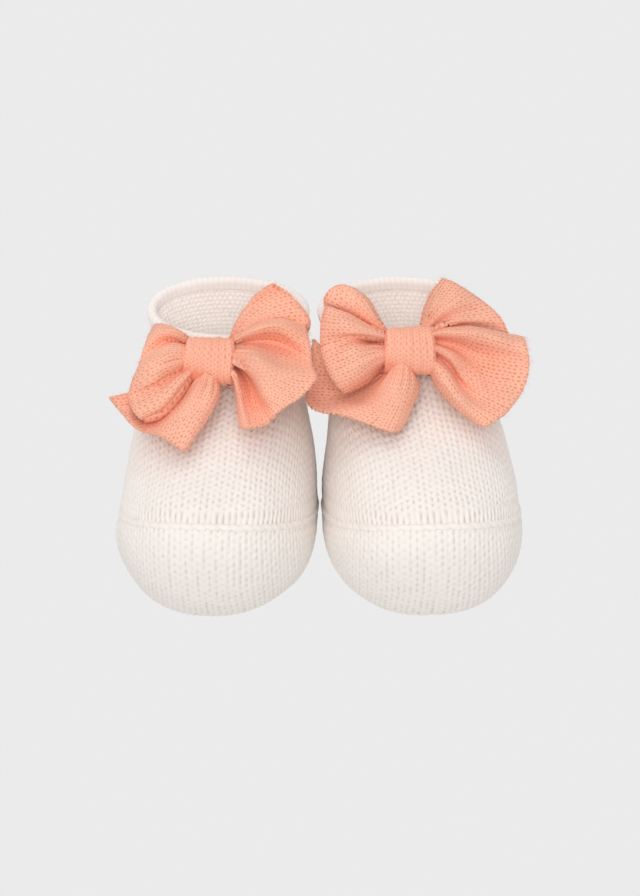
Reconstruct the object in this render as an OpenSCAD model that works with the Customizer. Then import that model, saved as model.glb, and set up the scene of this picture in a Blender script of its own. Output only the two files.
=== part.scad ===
// A pair of knitted baby booties with gathered jersey bows.
// Millimetres, +Z up. The toes point along -Y. The origin is on the ground, in the middle of the pair.

/* [Foot] */
// Length of one bootie from toe to heel
foot_length = 100; // [80:1:125]
// Width across the widest part of the foot
foot_width = 57; // [46:0.5:72]
// How far the toe tip lies in front of the widest part
toe_reach = 38; // [30:1:48]
// Height of the toe seam on top of the toe
seam_height = 35.5; // [28:0.5:46]
// Height of the toe seam at the heel
heel_seam_height = 6; // [4:0.5:12]
// Width of the flat part of the sole
sole_width = 44; // [34:1:54]
// Length of the flat part of the sole
sole_length = 70; // [56:1:90]
// Thickness of the knitted fabric
knit_thickness = 2.4; // [1.6:0.1:3.2]

/* [Ankle] */
// Height of the ankle opening's rim at the front
rim_front_height = 61; // [54:1:76]
// Height of the ankle opening's rim at the back
rim_back_height = 68.5; // [58:0.5:84]
// Width of the ankle opening, outside
rim_width = 47; // [40:1:60]
// Depth of the ankle opening from front to back, outside
rim_depth = 25; // [20:1:32]
// Height of the rolled rim above the fabric's last row
rim_roll = 2.2; // [1.5:0.1:3.5]

/* [Seams] */
// Thickness of the ridge that joins the sole to the upper
seam_ridge = 2.6; // [1.6:0.1:4]
// Thickness of the ridge down the heel
heel_ridge = 1.8; // [1.2:0.1:3]

/* [Bow] */
// Width of the knot, along the bow
band_width = 14.6; // [11:0.1:18]
// Height of the knot, across the bow
band_height = 15; // [12:0.1:18]
// Depth of the knot, front to back
band_depth = 12; // [9:0.1:15]
// Thickness of the knot's wrapped fabric
band_wall = 1.8; // [1.2:0.1:2.4]
// Scale of the bow's loops and tails
bow_scale = 1; // [0.8:0.05:1.2]
// Diameter of the sewing and gathering thread
thread_d = 0.8; // [0.5:0.1:1.2]
// Space between the knot's back and the ankle
knot_gap = 1.6; // [1.2:0.1:3]
// Space between the knot and the root of each loop and tail
root_gap = 1; // [0.6:0.1:2]

/* [Pair] */
// How far each toe turns outwards, in degrees
toe_out = 3; // [0:0.5:8]
// Space between the two booties where they come closest
pair_gap = 0.4; // [0.4:0.1:6]

/* [Hidden] */
ivory = "#F2E8DF";
ridge_ivory = "#E9DDD2";
coral = "#F7A88C";
deep_coral = "#EE9A7E";

sides = ["left", "right"];
pieces = [
    "sole_panel", "upper_panel", "toe_seam", "heel_seam", "cuff_rim",
    "bow_band", "bow_core", "gather_thread", "band_stitches", "tack_stitches",
    "bow_outer_loop", "bow_outer_tail", "bow_inner_loop", "bow_inner_tail"
];

around = 40;              // points in each ring of the foot
upper_rows = 13;          // rings from the toe seam to the rim
sole_rows = 8;            // rings from the ground to the toe seam
ridge_sides = 6;          // sides of a seam ridge
band_sides = 24;          // points around the knot
lobe_sides = 12;          // points in each ring of a loop or tail
lobe_rows = 9;            // rings along a loop or tail
knot_rows = [0.82, 0.92]; // where each knot sits, from the toe seam (0) to the rim (1)
knot_shifts = [-3.05, 0.75]; // how far each knot sits off its instep's middle, along X
leans = [0.65, -4.75];      // how far each soft ankle leans over, along X
$lean = 0;                // the lean of the bootie that is being made
seam_setback = 8.6;       // from the toe tip back to the top of the toe seam
seam_sink = 0.9;          // how deep the middle of the toe seam's ridge lies in the fabric
heel_setback = 4;         // from the heel forward to the toe seam at the heel
side_drop = 5;            // how far the toe seam dips at the sides
sole_lift = 20;           // from the toe tip back to the flat part of the sole
broadness = 0.9;          // 1 makes the foot's plan an ellipse, and less makes its toe broader

toe_y = -toe_reach;
heel_y = foot_length - toe_reach;
sole_middle_y = toe_y + sole_lift + sole_length / 2;
ankle_back_y = heel_y - 5.5;
ankle_front_y = ankle_back_y - rim_depth;

function bez(a, b, c, d, t) =
    a * pow(1 - t, 3) + 3 * b * t * pow(1 - t, 2) + 3 * c * t * t * (1 - t) + d * pow(t, 3);
function unit(v) = v / norm(v);
function broad(v, e) = sign(v) * pow(abs(v), e);

// Centre line of the instep and of the heel, as [y, z], from the toe seam (t = 0) to the rim (t = 1).
function front_line(t) = bez(
    [toe_y + seam_setback, seam_height],
    [toe_y + seam_setback + 17.4, seam_height + 8.8],
    [ankle_front_y - 5.6, rim_front_height - 18],
    [ankle_front_y, rim_front_height], t);
function back_line(t) = bez(
    [heel_y - heel_setback, heel_seam_height],
    [heel_y + 4, heel_seam_height + 20],
    [heel_y - 9, rim_back_height - 26],
    [ankle_back_y, rim_back_height], t);
function half_width(t) = bez(
    foot_width / 2, foot_width / 2 + 0.5, rim_width / 2 - 4, rim_width / 2, t);

// The fabric's outer surface. u runs from the ground (-1) by the toe seam (0) to the rim (1),
// and a runs round the foot from the toe (0) by the right side (90) to the heel (180).
function upper_point(t, a) =
    let (f = front_line(t), b = back_line(t), c = (f + b) / 2, h = (b - f) / 2,
        e = broadness + (1 - broadness) * t, x = broad(sin(a), e), y = broad(cos(a), e))
    [half_width(t) * x + $lean * t * t, c[0] - h[0] * y,
        c[1] - h[1] * y - side_drop * pow(1 - t, 2) * x * x];
function ground_point(a) =
    [sole_width / 2 * broad(sin(a), broadness),
        sole_middle_y - sole_length / 2 * broad(cos(a), broadness), 0];
function sole_point(s, a) =
    let (top = upper_point(0, a), ground = ground_point(a), out = [sin(a), -cos(a), 0],
        front = pow((1 + cos(a)) / 2, 2))
    bez(top, top + top[2] * (0.36 * front * out - (0.37 - 0.17 * front) * [0, 0, 1]),
        ground + 0.3 * top[2] * out, ground, s);
function skin_point(u, a) = u < 0 ? sole_point(-u, a) : upper_point(u, a);
function skin_normal(u, a) =
    let (d = 0.01, low = max(u - d, u < 0 ? -1 : 0), high = min(u + d, u < 0 ? 0 : 1))
    unit(cross(skin_point(u, a + 1) - skin_point(u, a - 1),
        (high >= 0 && u >= 0 ? upper_point(high, a) : sole_point(-high, a))
            - (u < 0 ? sole_point(-low, a) : upper_point(low, a))));
function inner_point(u, a) =
    let (p = skin_point(u, a) - knit_thickness * skin_normal(u, a))
    u <= -1 ? [p[0], p[1], knit_thickness] : p;
// Just at the seam the two panels share one normal, so their edges meet face to face.
function seam_inner(a) =
    skin_point(0, a) - knit_thickness * unit(skin_normal(0, a) + skin_normal(-0.001, a));

function angles(n) = [for (i = [0 : n - 1]) 360 * i / n];

// A solid from rings of equal length. A looped one closes on itself, an open one gets two flat ends.
// Two solids that share a face cut it along the same diagonals if just one of them is mirrored.
module ring_solid(rings, looped = true, mirrored = false) {
    n = len(rings[0]);
    m = len(rings);
    last = looped ? m - 1 : m - 2;
    polyhedron(
        points = [for (r = rings, p = r) p],
        faces = concat(
            [for (i = [0 : last], j = [0 : n - 1])
                let (k = (i + 1) % m, l = (j + 1) % n) [i * n + j, i * n + l, k * n + (mirrored ? j : l)]],
            [for (i = [0 : last], j = [0 : n - 1])
                let (k = (i + 1) % m, l = (j + 1) % n) [i * n + (mirrored ? l : j), k * n + l, k * n + j]],
            looped ? [] : [
                [for (j = [n - 1 : -1 : 0]) j],
                [for (j = [0 : n - 1]) (m - 1) * n + j]
            ]));
}

// A ridge of round section that follows a line of places on the skin.
function ridge_ring(centre, across, out, d) =
    [for (b = angles(ridge_sides)) centre + d / 2 * (cos(b) * across + sin(b) * out)];

module sole_panel() {
    color(ivory) ring_solid(concat(
        [for (i = [0 : sole_rows - 1]) [for (a = angles(around)) skin_point(i / sole_rows - 1, a)]],
        [[for (a = angles(around)) skin_point(0, a)]],
        [[for (a = angles(around)) seam_inner(a)]],
        [for (i = [sole_rows - 1 : -1 : 0])
            [for (a = angles(around)) inner_point(i / sole_rows - 1, a)]]
    ), looped = false, mirrored = true);
}

module upper_panel() {
    color(ivory) ring_solid(concat(
        [for (i = [0 : upper_rows]) [for (a = angles(around)) skin_point(i / upper_rows, a)]],
        [for (i = [upper_rows : -1 : 1]) [for (a = angles(around)) inner_point(i / upper_rows, a)]],
        [[for (a = angles(around)) seam_inner(a)]]));
}

module toe_seam() {
    ring = [for (a = angles(around))
        let (out = unit(skin_normal(0, a) + skin_normal(-0.001, a)),
            along = unit(skin_point(0, a + 1) - skin_point(0, a - 1)))
        ridge_ring(skin_point(0, a) - seam_sink * out, cross(out, along), out, seam_ridge)];
    color(ridge_ivory) ring_solid(ring);
}

module heel_seam() {
    rows = 14;
    bottom = 0.05;
    top = 0.985;
    rings = [for (i = [0 : rows])
        let (t = bottom + (top - bottom) * i / rows, out = skin_normal(t, 180))
        ridge_ring(skin_point(t, 180), [-1, 0, 0], out, heel_ridge)];
    color(ridge_ivory) ring_solid(rings, looped = false);
}

module cuff_rim() {
    rise = [0, 0, rim_roll];
    bulge = 0.7;
    function lip(a, side, lift) =
        (skin_point(1, a) + inner_point(1, a)) / 2
            + side * skin_normal(1, a) + lift * rise;
    half = knit_thickness / 2;
    color(ivory) ring_solid([
        [for (a = angles(around)) skin_point(1, a)],
        [for (a = angles(around)) lip(a, half + bulge, 0.45)],
        [for (a = angles(around)) lip(a, half * 0.6, 1)],
        [for (a = angles(around)) lip(a, -half * 0.6, 1)],
        [for (a = angles(around)) lip(a, -half - bulge, 0.45)],
        [for (a = angles(around)) inner_point(1, a)]
    ], mirrored = true);
}

// Each bow lies in a plane of its own, against the front of the ankle: p runs to the right,
// q up the bow, and r away from the ankle. Its origin is the middle of the knot.
function bow_out(side) = skin_normal(knot_rows[side], 0);
function bow_up(side) = cross(bow_out(side), [1, 0, 0]);
function bow_middle(side) = [knot_shifts[side], 0, 0] + skin_point(knot_rows[side], 0)
    + (band_depth / 2 + knot_gap) * bow_out(side);

// Puts its children in a bow's plane: their x, y and z become p, q and r.
module in_bow_plane(side) {
    up = bow_up(side);
    out = bow_out(side);
    middle = bow_middle(side);
    multmatrix([
        [1, up[0], out[0], middle[0]],
        [0, up[1], out[1], middle[1]],
        [0, up[2], out[2], middle[2]],
        [0, 0, 0, 1]
    ]) children();
}

// A round-cornered ring about the bow's own length.
function band_ring(p, height, depth) = [for (b = angles(band_sides))
    let (c = cos(b), s = sin(b), e = 0.82)
    [p, height / 2 * broad(c, e), depth / 2 * broad(s, e)]];
core_height = band_height - 2 * band_wall;
core_depth = band_depth - 2 * band_wall;

module bow_band() {
    color(coral) ring_solid([
        band_ring(-band_width / 2, core_height, core_depth),
        band_ring(-band_width / 2, band_height * 0.93, band_depth * 0.9),
        band_ring(-band_width / 4, band_height, band_depth),
        band_ring(band_width / 4, band_height, band_depth),
        band_ring(band_width / 2, band_height * 0.93, band_depth * 0.9),
        band_ring(band_width / 2, core_height, core_depth)
    ]);
}

wraps = 3;                               // turns of the gathering thread
groove = wraps * thread_d;               // width of the groove that they lie in
module bow_core() {
    waist_height = core_height - 2 * thread_d;
    waist_depth = core_depth - 2 * thread_d;
    color(deep_coral) ring_solid([
        band_ring(-band_width / 2, core_height, core_depth),
        band_ring(-groove / 2, core_height, core_depth),
        band_ring(-groove / 2, waist_height, waist_depth),
        band_ring(groove / 2, waist_height, waist_depth),
        band_ring(groove / 2, core_height, core_depth),
        band_ring(band_width / 2, core_height, core_depth)
    ], looped = false);
}

module gather_thread() {
    color(ridge_ivory)
        for (i = [0 : wraps - 1]) {
            low = -groove / 2 + i * thread_d + 0.05;
            high = low + thread_d - 0.1;
            ring_solid([
                band_ring(low, core_height - 2 * thread_d, core_depth - 2 * thread_d),
                band_ring(low, core_height - 0.5 * thread_d, core_depth - 0.5 * thread_d),
                band_ring(high, core_height - 0.5 * thread_d, core_depth - 0.5 * thread_d),
                band_ring(high, core_height - 2 * thread_d, core_depth - 2 * thread_d)
            ]);
        }
}

// Three whip stitches that close the band at its back.
module band_stitches() {
    pitch = 3;
    reach = 3.6;
    color(deep_coral)
        for (i = [-1 : 1])
            translate([-reach / 2, i * pitch, -band_depth / 2])
                rotate([0, 90, 0]) cylinder(d = thread_d, h = reach, $fn = 24);
}

// Two stitches that hold the knot to the ankle.
module tack_stitches() {
    spread = band_width / 4 + 1;
    bite = 1.4;
    color(ridge_ivory)
        for (way = [-1, 1])
            translate([way * spread, 0, -band_depth / 2 - knot_gap - bite])
                cylinder(d = thread_d * 1.5, h = knot_gap + 2 * bite, $fn = 24);
}

// A loop or tail of gathered jersey: a soft blade that widens from its root to its end.
// root and tip are [p, q, r], widths are [root, middle, tip], and across is the root's own direction.
module lobe(root, tip, widths, thickness, arch, across) {
    run = tip - root;
    rings = [for (i = [0 : lobe_rows])
        let (s = i / lobe_rows, middle = root + s * run + [0, 0, 4 * arch * s * (1 - s)],
            side = unit((1 - s) * across + s * unit([-run[1], run[0], 0])),
            w = widths[0] * pow(1 - s, 2) + 2 * (2 * widths[1] - (widths[0] + widths[2]) / 2) * s * (1 - s)
                + widths[2] * pow(s, 2),
            d = thickness * (0.55 + 0.9 * s * (1 - s) + 0.1 * s))
        [for (b = angles(lobe_sides))
            middle + w / 2 * cos(b) * side + [0, 0, d / 2 * sin(b)]]];
    color(coral) ring_solid(rings, looped = false);
}

edge = band_width / 2 + root_gap;        // where the side roots start
foot = -band_height / 2 - root_gap;      // where the roots under the knot start
drape = 1.5;                             // how far a low tail stands off the bow's plane

// The loops and tails of both bows: the left side of each bow has a loop at the side and a tail
// that comes from under the knot, and the right side has a loop above and a tail below.
module west_loop(side) {
    root = [-edge, [0.8, 1.8][side], 0];
    reach = [[-15.3, -7, 2], [-16, 0.5, 2]][side];
    lobe(root, root + bow_scale * reach, [8, 18, [23, 24][side]], 6.5, 1, [0, -1, 0]);
}

module west_tail(side) {
    root = [[-2.6, -1.2][side], foot, drape];
    reach = [[-9.5, -13.5, 6.5], [-11.5, -11.5, 6]][side];
    lobe(root, root + bow_scale * reach, [9, 13, [14, 19][side]], 4.5, -0.3, [1, 0, 0]);
}

module east_loop(side) {
    root = [edge, 4.2, -1.5];
    reach = [[15.5, 10.5, 0], [12.5, 8, 0]][side];
    lobe(root, root + bow_scale * reach, [7, 12, [13, 15][side]], 5, 0.6, [0, 1, 0]);
}

module east_tail(side) {
    root = [edge, -2, 0.8];
    reach = [[17.5, -4.5, 3], [20.5, -6.5, 3]][side];
    lobe(root, root + bow_scale * reach, [9, 20, [23, 25][side]], 6.5, 1, [0, 1, 0]);
}

// Where each bootie stands, so that the pair is centred on the origin and neither
// foot nor leaning ankle reaches the other bootie at any height.
function stance(side, u) = [for (a = [0 : 5 : 355])
    let ($lean = leans[side], way = 2 * side - 1, p = skin_point(u, a))
    [p[1] * sin(toe_out) - way * p[0] * cos(toe_out),
        p[1] * cos(toe_out) + way * p[0] * sin(toe_out)]];
function inner_reach(side, u) = max([for (p = stance(side, u)) p[0]]);
levels = [for (k = [0 : 32]) k / 20 - 0.6];
widest = max([for (u = levels) inner_reach(0, u) + inner_reach(1, u)]);
depths = [for (u = levels, p = stance(1, u)) p[1]];
stand_x = (widest + seam_ridge + pair_gap) / 2 - seam_sink;
stand_y = -(max(depths) + min(depths)) / 2;

module piece(side, name) {
    way = 2 * side - 1;
    outer_is_west = side == 0;
    $lean = leans[side];
    translate([way * stand_x, stand_y, 0]) rotate([0, 0, way * toe_out]) {
        if (name == "sole_panel") sole_panel();
        if (name == "upper_panel") upper_panel();
        if (name == "toe_seam") toe_seam();
        if (name == "heel_seam") heel_seam();
        if (name == "cuff_rim") cuff_rim();
        in_bow_plane(side) {
            if (name == "bow_band") bow_band();
            if (name == "bow_core") bow_core();
            if (name == "gather_thread") gather_thread();
            if (name == "band_stitches") band_stitches();
            if (name == "tack_stitches") tack_stitches();
            if (name == (outer_is_west ? "bow_outer_loop" : "bow_inner_loop")) west_loop(side);
            if (name == (outer_is_west ? "bow_outer_tail" : "bow_inner_tail")) west_tail(side);
            if (name == (outer_is_west ? "bow_inner_loop" : "bow_outer_loop")) east_loop(side);
            if (name == (outer_is_west ? "bow_inner_tail" : "bow_outer_tail")) east_tail(side);
        }
    }
}

for (side = [0, 1], p = pieces)
    piece(side, p);
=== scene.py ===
import math

import bmesh
import bpy
import numpy as np
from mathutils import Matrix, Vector


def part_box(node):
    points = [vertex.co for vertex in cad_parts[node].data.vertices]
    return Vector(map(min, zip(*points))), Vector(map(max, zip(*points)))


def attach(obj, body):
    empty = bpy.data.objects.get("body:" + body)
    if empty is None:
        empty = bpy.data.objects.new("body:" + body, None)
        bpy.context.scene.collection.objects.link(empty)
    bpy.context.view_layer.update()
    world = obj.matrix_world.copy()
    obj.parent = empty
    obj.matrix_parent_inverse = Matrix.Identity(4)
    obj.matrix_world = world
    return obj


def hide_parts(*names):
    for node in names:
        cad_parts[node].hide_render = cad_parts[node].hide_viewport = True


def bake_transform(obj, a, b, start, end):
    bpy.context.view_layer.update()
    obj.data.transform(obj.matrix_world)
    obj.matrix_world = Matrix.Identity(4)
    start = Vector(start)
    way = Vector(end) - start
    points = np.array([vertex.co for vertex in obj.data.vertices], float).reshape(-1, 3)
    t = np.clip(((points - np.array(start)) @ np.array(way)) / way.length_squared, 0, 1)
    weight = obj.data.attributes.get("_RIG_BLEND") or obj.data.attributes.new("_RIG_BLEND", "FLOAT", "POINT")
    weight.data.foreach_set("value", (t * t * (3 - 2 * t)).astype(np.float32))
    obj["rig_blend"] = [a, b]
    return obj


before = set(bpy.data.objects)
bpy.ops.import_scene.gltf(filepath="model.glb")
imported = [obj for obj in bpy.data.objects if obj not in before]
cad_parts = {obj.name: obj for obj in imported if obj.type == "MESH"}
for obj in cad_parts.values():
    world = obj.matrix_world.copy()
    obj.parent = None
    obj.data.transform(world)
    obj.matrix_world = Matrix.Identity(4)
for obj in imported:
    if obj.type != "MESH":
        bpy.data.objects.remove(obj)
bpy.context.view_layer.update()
millimetre = 0.001

# Camera, light and floor

studio = {
    "distance": 0.72,
    "elevation": 30,  # degrees above the horizon
    "lookAt": (0, 0, 0.036),
    "lens": 100,
    "sensor": 36,
    "backdrop": (0.831, 0.831, 0.831),
    "worldShare": 0.76,  # of the backdrop's brightness, for the light that falls on the booties
    "floorShare": 0.90,
    "frontPlace": (-0.12, -1.00, 0.78),
    "frontSize": (0.9, 0.7),
    "frontPower": 5.6,
    "topPlace": (-0.25, 0.10, 1.2),
    "topSize": (0.8, 0.8),
    "topPower": 2.0,
    "lightTarget": (0, 0, 0.03),
    "floorHalf": 4,
}


def makeCamera():
    data = bpy.data.cameras.new("camera")
    data.lens = studio["lens"]
    data.sensor_width = studio["sensor"]
    data.clip_start = 0.05
    camera = bpy.data.objects.new("camera", data)
    bpy.context.scene.collection.objects.link(camera)
    tilt = math.radians(studio["elevation"])
    back = Vector((0, -math.cos(tilt), math.sin(tilt)))
    camera.location = Vector(studio["lookAt"]) + studio["distance"] * back
    camera.rotation_euler = (-back).to_track_quat("-Z", "Y").to_euler()
    bpy.context.scene.camera = camera


def makeSoftbox(name, place, size, power):
    data = bpy.data.lights.new(name, "AREA")
    data.shape = "RECTANGLE"
    data.size, data.size_y = size
    data.energy = power
    lamp = bpy.data.objects.new(name, data)
    bpy.context.scene.collection.objects.link(lamp)
    lamp.location = place
    aim = Vector(studio["lightTarget"]) - Vector(place)
    lamp.rotation_euler = aim.to_track_quat("-Z", "Y").to_euler()


def seenOrShare(tree, socket, share):
    # full strength where it is seen, and a share of it as light
    path = tree.nodes.new("ShaderNodeLightPath")
    level = tree.nodes.new("ShaderNodeMapRange")
    level.inputs["To Min"].default_value = share
    level.inputs["To Max"].default_value = 1
    tree.links.new(path.outputs["Is Camera Ray"], level.inputs["Value"])
    tree.links.new(level.outputs["Result"], socket)


def makeStudio():
    world = bpy.data.worlds.new("studioWorld")
    bpy.context.scene.world = world
    world.use_nodes = True
    background = world.node_tree.nodes["Background"]
    background.inputs["Color"].default_value = (*studio["backdrop"], 1)
    seenOrShare(world.node_tree, background.inputs["Strength"], studio["worldShare"])
    bpy.context.scene.view_settings.view_transform = "Standard"
    makeSoftbox("frontLight", studio["frontPlace"], studio["frontSize"], studio["frontPower"])
    makeSoftbox("topLight", studio["topPlace"], studio["topSize"], studio["topPower"])
    bm = bmesh.new()
    bmesh.ops.create_grid(bm, x_segments=1, y_segments=1, size=studio["floorHalf"])
    mesh = bpy.data.meshes.new("floor")
    bm.to_mesh(mesh)
    bm.free()
    floor = bpy.data.objects.new("floor", mesh)
    bpy.context.scene.collection.objects.link(floor)
    paint = bpy.data.materials.new("paleFloor")
    paint.use_nodes = True
    shader = paint.node_tree.nodes["Principled BSDF"]
    shader.inputs["Base Color"].default_value = (0, 0, 0, 1)
    shader.inputs["Roughness"].default_value = 1
    shader.inputs["Specular IOR Level"].default_value = 0
    shader.inputs["Emission Color"].default_value = (*studio["backdrop"], 1)
    seenOrShare(paint.node_tree, shader.inputs["Emission Strength"], studio["floorShare"])
    mesh.materials.append(paint)


makeCamera()
makeStudio()
print("studio ready")

# Meshes


def gridPiece(name, points, attributes=None, closed=False, material=None):
    # a flat grid whose corners are moved to the given points; a closed one is welded where its edges meet
    rows, columns = points.shape[:2]
    bm = bmesh.new()
    bmesh.ops.create_grid(bm, x_segments=columns - 1, y_segments=rows - 1, size=1)
    mesh = bpy.data.meshes.new(name)
    bm.to_mesh(mesh)
    bm.free()
    flat = np.empty(len(mesh.vertices) * 3, np.float32)
    mesh.vertices.foreach_get("co", flat)
    flat = flat.reshape(-1, 3)
    j = np.rint((flat[:, 0] + 1) / 2 * (columns - 1)).astype(int)
    i = np.rint((flat[:, 1] + 1) / 2 * (rows - 1)).astype(int)
    mesh.vertices.foreach_set("co", points[i, j].astype(np.float32).ravel())
    for key, values in (attributes or {}).items():
        layer = mesh.attributes.new(key, "FLOAT", "POINT")
        layer.data.foreach_set("value", np.broadcast_to(values, points.shape[:2])[i, j].astype(np.float32))
    mesh.update()
    if closed:
        bm = bmesh.new()
        bm.from_mesh(mesh)
        rim = [v for v in bm.verts if v.is_boundary]
        bmesh.ops.remove_doubles(bm, verts=rim, dist=2e-6)
        bm.to_mesh(mesh)
        bm.free()
    mesh.shade_smooth()
    if material:
        mesh.materials.append(material)
    piece = bpy.data.objects.new(name, mesh)
    bpy.context.scene.collection.objects.link(piece)
    return piece


def surfaceNormals(points, around=False):
    if around:  # the first and last columns are the same line
        wide = np.concatenate([points[:, -2:-1], points, points[:, 1:2]], 1)
        along = wide[:, 2:] - wide[:, :-2]
    else:
        along = np.gradient(points, axis=1)
    up = np.gradient(points, axis=0)
    normal = np.cross(along, up)
    length = np.linalg.norm(normal, axis=-1, keepdims=True)
    return normal / np.maximum(length, 1e-12)


def waves(x, y, z, seed, size):
    # soft uneven lumps, about size metres across and mostly between -1 and 1
    rng = np.random.default_rng(seed)
    count, strength = 7, 1.9
    total = 0
    for _ in range(count):
        way = rng.normal(size=3)
        way *= 2 * math.pi / (size * np.linalg.norm(way) * rng.uniform(0.7, 1.6))
        total = total + np.sin(way[0] * x + way[1] * y + way[2] * z + rng.uniform(0, 6.28))
    return total / count * strength


# The foot's shape, from the same curves as the CAD panels. Angles run round the foot from its toe

foot = {
    "length": 0.100,
    "width": 0.057,
    "toeReach": 0.038,
    "seamHeight": 0.0355,
    "heelSeamHeight": 0.006,
    "soleWidth": 0.044,
    "soleLength": 0.070,
    "rimFront": 0.061,
    "rimBack": 0.0685,
    "rimWidth": 0.047,
    "rimDepth": 0.025,
    "thickness": 0.0024,
    "setback": 0.0086,  # of the instep's first row from the toe
    "heelSetback": 0.004,
    "ankleSetback": 0.0055,  # of the ankle's back from the heel
    "frontHandles": ((0.0174, 0.0088), (-0.0056, -0.018)),  # along and up, from the curve's ends
    "backHandles": ((0.004, 0.020), (-0.009, -0.026)),
    "sideHandles": (0.0005, -0.004),
    "sideDrop": 0.005,
    "soleLift": 0.020,
    "broadness": 0.9,
    "toeOut": 3,
    "lean": {"left": 0.00065, "right": -0.00475},  # how far each soft ankle leans over
}
sides = {"left": -1, "right": 1}


def bezier(a, b, c, d, t):
    a, b, c, d = (np.asarray(v, float) for v in (a, b, c, d))
    t = t[..., None] if a.ndim and a.shape[-1:] in ((2,), (3,)) else t
    return a * (1 - t) ** 3 + 3 * b * t * (1 - t) ** 2 + 3 * c * t * t * (1 - t) + d * t**3


def broad(v, e):
    return np.sign(v) * np.abs(v) ** e


toeY = -foot["toeReach"]
heelY = foot["length"] - foot["toeReach"]
backY = heelY - foot["ankleSetback"]
frontY = backY - foot["rimDepth"]
soleMiddle = toeY + foot["soleLift"] + foot["soleLength"] / 2


def upperPoint(t, a, lean=0.0):
    # t climbs from the sole panel's edge to the rim, along curves f at the front and b at the back
    t, a = np.broadcast_arrays(np.asarray(t, float), np.asarray(a, float))
    start = toeY + foot["setback"]
    low, high = foot["frontHandles"]
    f = bezier([start, foot["seamHeight"]], [start + low[0], foot["seamHeight"] + low[1]],
               [frontY + high[0], foot["rimFront"] + high[1]], [frontY, foot["rimFront"]], t)
    low, high = foot["backHandles"]
    b = bezier([heelY - foot["heelSetback"], foot["heelSeamHeight"]],
               [heelY + low[0], foot["heelSeamHeight"] + low[1]],
               [heelY + high[0], foot["rimBack"] + high[1]], [backY, foot["rimBack"]], t)
    low, high = foot["sideHandles"]
    half = bezier(foot["width"] / 2, foot["width"] / 2 + low,
                  foot["rimWidth"] / 2 + high, foot["rimWidth"] / 2, t)
    e = foot["broadness"] + (1 - foot["broadness"]) * t
    x, y = broad(np.sin(a), e), broad(np.cos(a), e)
    c, h = (f + b) / 2, (b - f) / 2
    drop = foot["sideDrop"] * (1 - t) ** 2 * x * x
    return np.stack([half * x + lean * t * t,
                     c[..., 0] - h[..., 0] * y,
                     c[..., 1] - h[..., 1] * y - drop], -1)


def upperOf(side):
    return lambda t, a: upperPoint(t, a, foot["lean"][side])


def groundPoint(a):
    e = foot["broadness"]
    return np.stack([foot["soleWidth"] / 2 * broad(np.sin(a), e),
                     soleMiddle - foot["soleLength"] / 2 * broad(np.cos(a), e), 0 * a], -1)


def solePoint(s, a):
    # s runs down from the same edge to the ground; the toe's cup is the part that bulges most
    s, a = np.broadcast_arrays(np.asarray(s, float), np.asarray(a, float))
    top, ground = upperPoint(0 * a, a), groundPoint(a)
    out = np.stack([np.sin(a), -np.cos(a), 0 * a], -1)
    front = ((1 + np.cos(a)) / 2)[..., None] ** 2
    tall = top[..., 2:3]
    down = np.array([0, 0, 1.0])
    return bezier(top, top + tall * (0.36 * front * out - (0.37 - 0.17 * front) * down),
                  ground + 0.3 * tall * out, ground, s)


def standPair():
    # where each bootie stands, read off the CAD panel
    lowNode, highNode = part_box("right_upper_panel")
    a = np.linspace(-math.pi, math.pi, 721)
    t = np.linspace(0, 1, 81)
    points = placed(upperOf("right")(t[:, None], a), 1, (0, 0)).reshape(-1, 3)
    middle = (points.min(0) + points.max(0)) / 2
    cad = (lowNode + highNode) / 2
    return cad.x - middle[0], cad.y - middle[1]


def placed(points, way, stand=None):
    # turns a bootie's toe out and stands it on its own side of the middle
    standX, standY = stand or standPlace
    turn = math.radians(way * foot["toeOut"])
    c, s = math.cos(turn), math.sin(turn)
    x, y, z = points[..., 0], points[..., 1], points[..., 2]
    return np.stack([x * c - y * s + way * standX, x * s + y * c + standY, z], -1)


standPlace = standPair()
print("stand", [round(v / millimetre, 2) for v in standPlace])


def evenAngles(pointAt, columns):
    # angles that cut a ring into equal lengths, each way from its front
    fine = np.linspace(-math.pi, math.pi, 1441)
    ring = pointAt(fine)
    run = np.concatenate([[0], np.cumsum(np.linalg.norm(np.diff(ring, axis=0), axis=-1))])
    run -= np.interp(0, fine, run)
    half = run[-1]
    where = np.linspace(-half, half, columns)
    return np.interp(where, run, fine), where


# Knitted surfaces

knit = {
    "wale": 0.0035,
    "row": 0.0024,
    "tallRow": 0.0058,  # the picked-up row above the toe seam
    "relief": 0.00075,
    "slant": 0.21,
    "stray": 0.10,  # how far rows and wales wander, in stitches
    "rowWave": 0.016,
    "waleWave": 0.020,
    "upperLump": 0.00035,
    "soleLump": 0.00030,
    "lumpWave": 0.022,
    "columns": 521,
    "upperRows": 181,
    "soleRows": 96,
    "underRows": 34,
}


def cellNoise(wale, row, seed):
    value = np.sin(wale * 12.9898 + row * 78.233 + seed * 37.719) * 43758.5453
    return value - np.floor(value)


def stitchHeight(wale, row, seed=0, slant=0.15, halfWidth=0.255, halfLength=0.82):
    # two plump slanted legs for every stitch, each tucked under the one above
    column, line = np.floor(wale), np.floor(row)
    u = wale - column - 0.5
    side = np.abs(u)
    best = np.zeros(np.broadcast(wale, row).shape)
    for step in (-1, 0, 1):
        n = cellNoise(column, line + step, seed + (u > 0))
        y = row - (line + step + 0.5)
        x = side - 0.25 - slant * y + 0.03 * (n - 0.5)
        grain = 1 - (x / halfWidth) ** 2 - (y / halfLength) ** 2
        height = np.sqrt(np.clip(grain, 0, 1)) * (0.9 + 0.14 * n) + 0.10 * y
        best = np.maximum(best, height * (grain > 0))
    return np.clip(best, 0, 1.1)


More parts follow.
